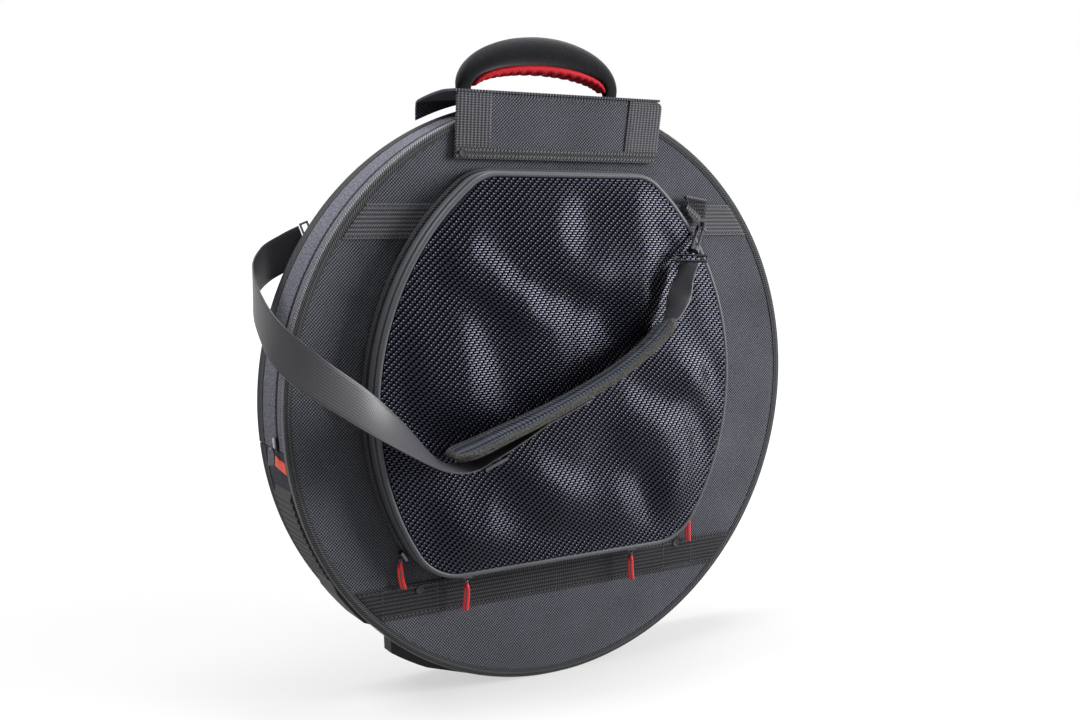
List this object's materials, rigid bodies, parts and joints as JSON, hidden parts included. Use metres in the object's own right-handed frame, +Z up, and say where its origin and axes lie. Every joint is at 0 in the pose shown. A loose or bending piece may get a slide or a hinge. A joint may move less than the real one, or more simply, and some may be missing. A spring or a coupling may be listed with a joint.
{
  "type": "cymbal bag",
  "caption": "Round padded cymbal bag with a two-compartment zipped front pocket, a folding zipped back, a top handle with red lining, and a shoulder strap on snap hooks.",
  "frame": {"origin": "bottom centre of the bounding box, on the floor that the front rim and the feet stand on", "axes": "+Z up to the handle, -Y towards the pocket side, +X to the right as seen from the front"},
  "size_m": [0.6746, 0.1878, 0.7185],
  "materials": {
    "binding": "braided binding",
    "black_chrome": "black chrome",
    "carbon_vinyl": "glossy woven-look vinyl",
    "grey_vinyl": "smooth vinyl",
    "gusset_nylon": "woven nylon",
    "mesh_pad": "spacer mesh",
    "nylon": "ballistic nylon",
    "orange_cloth": "smooth cloth",
    "padding": "padded cloth",
    "red_cloth": "smooth cloth",
    "red_pull": "soft moulded cord pull",
    "rubber": "matte moulded",
    "strap_webbing": "smooth webbing",
    "velour": "velour",
    "webbing": "ribbed webbing",
    "zip_tape": "woven tape with coil"
  },
  "bodies": {
    "case_front": {"front_panel": "nylon", "front_binding": "binding", "front_gusset": "gusset_nylon", "front_zip_tape": "zip_tape", "lower_gusset": "gusset_nylon", "lower_back_panel": "nylon", "lower_back_binding": "binding", "upper_band": "webbing", "lower_band": "webbing", "zip_end_tab_left": "orange_cloth", "zip_end_tab_right": "orange_cloth", "skid_left": "rubber", "skid_right": "rubber", "foot_left": "rubber", "foot_right": "rubber", "padded_divider": "padding", "pocket_base": "binding", "strap_tab_front": "webbing", "saddle": "nylon", "strap_webbing": "strap_webbing", "strap_pad": "mesh_pad", "strap_neck": "strap_webbing", "strap_adjuster": "black_chrome"},
    "case_back": {"upper_back_panel": "nylon", "rear_gusset": "gusset_nylon", "upper_back_binding": "binding", "rear_zip_tape": "zip_tape", "strap_tab_rear": "webbing"},
    "front_flap": {"flap_panel": "nylon", "flap_strip_left": "webbing", "flap_strip_right": "webbing", "flap_binding": "binding"},
    "handle": {"handle_cover": "velour", "handle_lining": "red_cloth"},
    "pocket_rear": {"pocket_rear_zip": "zip_tape", "pocket_band": "grey_vinyl", "pocket_divider": "padding"},
    "pocket_front": {"pocket_front_zip": "zip_tape", "pocket_piping": "grey_vinyl", "pocket_front_panel": "carbon_vinyl"},
    "main_left_slider": {"main_left_slider_body": "black_chrome"},
    "main_left_pull": {"main_left_pull_tab": "black_chrome"},
    "main_right_slider": {"main_right_slider_body": "black_chrome"},
    "main_right_pull": {"main_right_pull_tab": "black_chrome"},
    "outer_left_slider": {"outer_left_slider_body": "black_chrome"},
    "outer_left_pull": {"outer_left_pull_tab": "red_pull"},
    "outer_right_slider": {"outer_right_slider_body": "black_chrome"},
    "outer_right_pull": {"outer_right_pull_tab": "red_pull"},
    "front_left_slider": {"front_left_slider_body": "black_chrome"},
    "front_left_pull": {"front_left_pull_tab": "red_pull"},
    "front_right_slider": {"front_right_slider_body": "black_chrome"},
    "front_right_pull": {"front_right_pull_tab": "red_pull"},
    "ring_front": {"ring_front_wire": "black_chrome"},
    "hook_front": {"hook_front_body": "black_chrome"},
    "gate_front": {"gate_front_bar": "black_chrome"},
    "swivel_front": {"swivel_front_eye": "black_chrome"},
    "ring_rear": {"ring_rear_wire": "black_chrome"},
    "hook_rear": {"hook_rear_body": "black_chrome"},
    "gate_rear": {"gate_rear_bar": "black_chrome"},
    "swivel_rear": {"swivel_rear_eye": "black_chrome"}
  },
  "joints": [
    {"name": "lid_fold", "type": "hinge", "parent": "case_front", "child": "case_back", "pos_m": [0.0066, 0.0731, 0.2877], "axis": [-1, 0, 0], "range_deg": [0, 40], "deforming": ["strap_webbing", "strap_pad", "strap_neck", "strap_adjuster"]},
    {"name": "flap_lift", "type": "hinge", "parent": "case_front", "child": "front_flap", "pos_m": [0.0036, -0.0138, 0.6515], "axis": [-1, 0, 0], "range_deg": [0, 100]},
    {"name": "handle_tilt", "type": "hinge", "parent": "case_front", "child": "handle", "pos_m": [-0.0014, 0.0327, 0.66311], "axis": [1, 0, 0], "range_deg": [-60, 60]},
    {"name": "pocket_rear_open", "type": "hinge", "parent": "case_front", "child": "pocket_rear", "pos_m": [-0.0044, -0.0151, 0.1407], "axis": [1, 0, 0], "range_deg": [0, 54], "deforming": ["strap_webbing", "strap_pad", "strap_neck", "strap_adjuster", "hook_front_body", "gate_front_bar", "swivel_front_eye", "front_left_pull_tab", "front_right_pull_tab"]},
    {"name": "pocket_front_open", "type": "hinge", "parent": "pocket_rear", "child": "pocket_front", "pos_m": [-0.0044, -0.0294, 0.1407], "axis": [1, 0, 0], "range_deg": [0, 54], "deforming": ["strap_webbing", "strap_pad", "strap_neck", "strap_adjuster", "hook_front_body", "gate_front_bar", "swivel_front_eye"]},
    {"name": "main_left_slide", "type": "hinge", "parent": "case_front", "child": "main_left_slider", "pos_m": [0.0066, 0.0177, 0.325], "axis": [0, 1, 0], "range_deg": [0, 60]},
    {"name": "outer_left_slide", "type": "hinge", "parent": "case_front", "child": "outer_left_slider", "pos_m": [0.0626, -0.0151, 0.33], "axis": [0, 1, 0], "range_deg": [0, 78]},
    {"name": "main_right_slide", "type": "hinge", "parent": "case_front", "child": "main_right_slider", "pos_m": [0.0066, 0.0177, 0.325], "axis": [0, -1, 0], "range_deg": [0, 60]},
    {"name": "outer_right_slide", "type": "hinge", "parent": "case_front", "child": "outer_right_slider", "pos_m": [-0.0714, -0.0151, 0.33], "axis": [0, -1, 0], "range_deg": [0, 58]},
    {"name": "front_left_slide", "type": "hinge", "parent": "pocket_rear", "child": "front_left_slider", "pos_m": [-0.1323, -0.0251, 0.206], "axis": [0, 1, 0], "range_deg": [0, 60]},
    {"name": "front_right_slide", "type": "slide", "parent": "pocket_rear", "child": "front_right_slider", "axis": [1, 0, 0], "range_m": [0, 0.028]},
    {"name": "front_left_swing", "type": "hinge", "parent": "front_left_slider", "child": "front_left_pull", "pos_m": [-0.1219, -0.0251, 0.1344], "axis": [0, 1, 0], "range_deg": [-70, 70]},
    {"name": "front_right_swing", "type": "hinge", "parent": "front_right_slider", "child": "front_right_pull", "pos_m": [0.0951, -0.0251, 0.1344], "axis": [0, -1, 0], "range_deg": [-70, 70]},
    {"name": "main_left_swing", "type": "hinge", "parent": "main_left_slider", "child": "main_left_pull", "pos_m": [-0.32217, 0.0177, 0.29541], "axis": [0, 1, 0], "range_deg": [0, 110]},
    {"name": "main_right_swing", "type": "hinge", "parent": "main_right_slider", "child": "main_right_pull", "pos_m": [0.33537, 0.0177, 0.29541], "axis": [0, -1, 0], "range_deg": [0, 110]},
    {"name": "outer_left_swing", "type": "hinge", "parent": "outer_left_slider", "child": "outer_left_pull", "pos_m": [-0.19524, -0.0151, 0.16595], "axis": [0, 1, 0], "range_deg": [0, 110]},
    {"name": "outer_right_swing", "type": "hinge", "parent": "outer_right_slider", "child": "outer_right_pull", "pos_m": [0.18644, -0.0151, 0.16595], "axis": [0, -1, 0], "range_deg": [0, 110]},
    {"name": "ring_front_turn", "type": "hinge", "parent": "case_front", "child": "ring_front", "pos_m": [0.1803, -0.0135, 0.5251], "axis": [0.8107, 0, -0.5855], "range_deg": [-60, 0], "deforming": ["strap_neck"]},
    {"name": "hook_front_turn", "type": "hinge", "parent": "ring_front", "child": "hook_front", "pos_m": [0.17099, -0.04412, 0.51221], "axis": [0.8107, 0, -0.5855], "range_deg": [-90, 0], "deforming": ["strap_neck"]},
    {"name": "gate_front_open", "type": "hinge", "parent": "hook_front", "child": "gate_front", "pos_m": [0.15608, -0.05867, 0.49156], "axis": [-0.8107, 0, 0.5855], "range_deg": [0, 15], "stiffness_Nm_per_rad": 0.05, "springref_deg": -11.46},
    {"name": "swivel_front_turn", "type": "hinge", "parent": "hook_front", "child": "swivel_front", "pos_m": [0.15046, -0.05683, 0.48378], "axis": [-0.5504, -0.3408, -0.7622], "range_deg": [-120, 0], "deforming": ["strap_neck"]},
    {"name": "ring_rear_turn", "type": "hinge", "parent": "case_back", "child": "ring_rear", "pos_m": [-0.1774, 0.0777, 0.526], "axis": [0.3697, 0, -0.9291], "range_deg": [0, 90], "deforming": ["strap_webbing"]},
    {"name": "hook_rear_turn", "type": "hinge", "parent": "ring_rear", "child": "hook_rear", "pos_m": [-0.20844, 0.08632, 0.51365], "axis": [0.3697, 0, -0.9291], "range_deg": [0, 90], "deforming": ["strap_webbing"]},
    {"name": "gate_rear_open", "type": "hinge", "parent": "hook_rear", "child": "gate_rear", "pos_m": [-0.23538, 0.0819, 0.50293], "axis": [-0.3697, 0, 0.9291], "range_deg": [0, 15], "stiffness_Nm_per_rad": 0.05, "springref_deg": -11.46},
    {"name": "swivel_rear_turn", "type": "hinge", "parent": "hook_rear", "child": "swivel_rear", "pos_m": [-0.24309, 0.08707, 0.49986], "axis": [-0.929, 0.02, -0.3696], "range_deg": [-30, 30], "deforming": ["strap_webbing"]}
  ]
}
